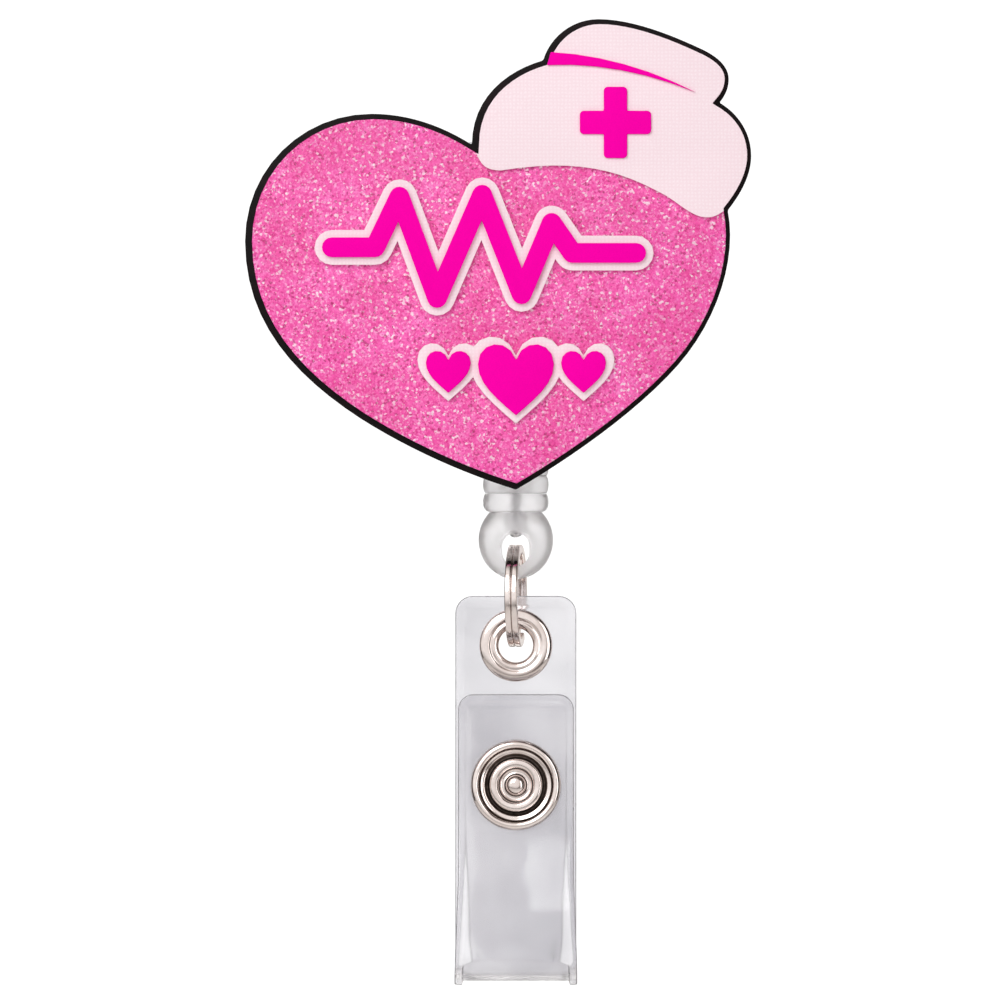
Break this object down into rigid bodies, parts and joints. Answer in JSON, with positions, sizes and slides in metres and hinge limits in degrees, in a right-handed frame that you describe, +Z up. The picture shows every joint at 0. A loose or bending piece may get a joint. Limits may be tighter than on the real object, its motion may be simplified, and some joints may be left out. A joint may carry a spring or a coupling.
{
  "type": "retractable badge reel",
  "caption": "Retractable badge reel with a heart and cap topper, a swivel alligator clip behind and a clear snap strap on a split ring.",
  "frame": {"origin": "where the closed jaws of the clip meet, on the clip's centre line", "axes": "+Z up as it hangs, +X to the viewer's right, -Y towards the viewer, the reel's axis along Y"},
  "size_m": [0.054, 0.0216, 0.1028],
  "materials": {
    "magenta_print": "matt magenta vinyl print",
    "pale_print": "pale pink print with a fine weave",
    "black_acrylic": "laser-cut black acrylic",
    "pink_glitter": "pink glitter sheet with light and dark flakes",
    "white_foam": "closed-cell foam tape",
    "clear_plastic": "moulded translucent white polypropylene",
    "grey_plastic": "moulded pale grey ABS",
    "nylon_cord": "braided nylon cord",
    "nickel": "bright nickel plate on steel",
    "spring_steel": "blue-grey spring steel",
    "clear_vinyl": "clear flexible PVC with embossed edges"
  },
  "bodies": {
    "clip": {"clip_base_jaw": "nickel", "clip_pin": "nickel", "swivel_rivet": "nickel", "swivel_washer": "clear_plastic"},
    "clip_lever": {"clip_lever_jaw": "nickel", "clip_spring": "spring_steel"},
    "reel": {"rear_housing": "grey_plastic", "front_cover": "grey_plastic", "power_spring": "spring_steel", "cord_lead": "nylon_cord", "mounting_pad": "white_foam", "topper_backer": "black_acrylic", "glitter_sheet": "pink_glitter", "cap_panel": "pale_print", "cap_band": "magenta_print", "cap_cross": "magenta_print", "motif_pulse_outline": "pale_print", "motif_pulse": "magenta_print", "motif_hearts_outline": "pale_print", "motif_heart_left": "magenta_print", "motif_heart_middle": "magenta_print", "motif_heart_right": "magenta_print"},
    "spool": {"spool": "clear_plastic", "cord_winding": "nylon_cord"},
    "cord_end": {"end_bead": "clear_plastic", "cord_knot": "nylon_cord", "cord_tail": "nylon_cord"},
    "ring": {"split_ring": "nickel"},
    "strap": {"strap_back_leg": "clear_vinyl", "eyelet": "nickel", "eyelet_washer": "nickel", "snap_stud": "nickel", "snap_post": "nickel"},
    "flap": {"strap_flap": "clear_vinyl", "snap_cap": "nickel", "snap_socket": "nickel"}
  },
  "joints": [
    {"name": "clip_jaw", "type": "hinge", "parent": "clip", "child": "clip_lever", "pos_m": [0, 0.002, -0.014], "axis": [-1, 0, 0], "range_deg": [0, 25], "stiffness_Nm_per_rad": 0.15, "springref_deg": -28.65},
    {"name": "clip_swivel", "type": "hinge", "parent": "clip", "child": "reel", "pos_m": [0, -0.0024, -0.011], "axis": [0, 1, 0], "continuous": true},
    {"name": "cord_pull", "type": "slide", "parent": "reel", "child": "cord_end", "axis": [0, 0, -1], "range_m": [0, 0.6], "deforming": ["cord_tail"]},
    {"name": "spool_spin", "type": "hinge", "parent": "reel", "child": "spool", "pos_m": [0, -0.0063, -0.011], "axis": [0, 1, 0], "range_deg": [-3212, 0], "stiffness_Nm_per_rad": 0.000114, "springref_deg": 5362.88},
    {"name": "ring_swing", "type": "hinge", "parent": "cord_end", "child": "ring", "pos_m": [0, -0.0063, -0.03935], "axis": [0, 1, 0], "range_deg": [-30, 30]},
    {"name": "strap_swing", "type": "hinge", "parent": "ring", "child": "strap", "pos_m": [0, -0.0063, -0.0444], "axis": [0.9945, -0.1045, 0], "range_deg": [-35, 35]},
    {"name": "snap_flap", "type": "hinge", "parent": "strap", "child": "flap", "pos_m": [0, -0.0089, -0.0856], "axis": [1, 0, 0], "range_deg": [0, 120]}
  ],
  "couplings": [
    {"joint": "spool_spin", "follows": "cord_pull", "rad_per_m": -93.4}
  ]
}
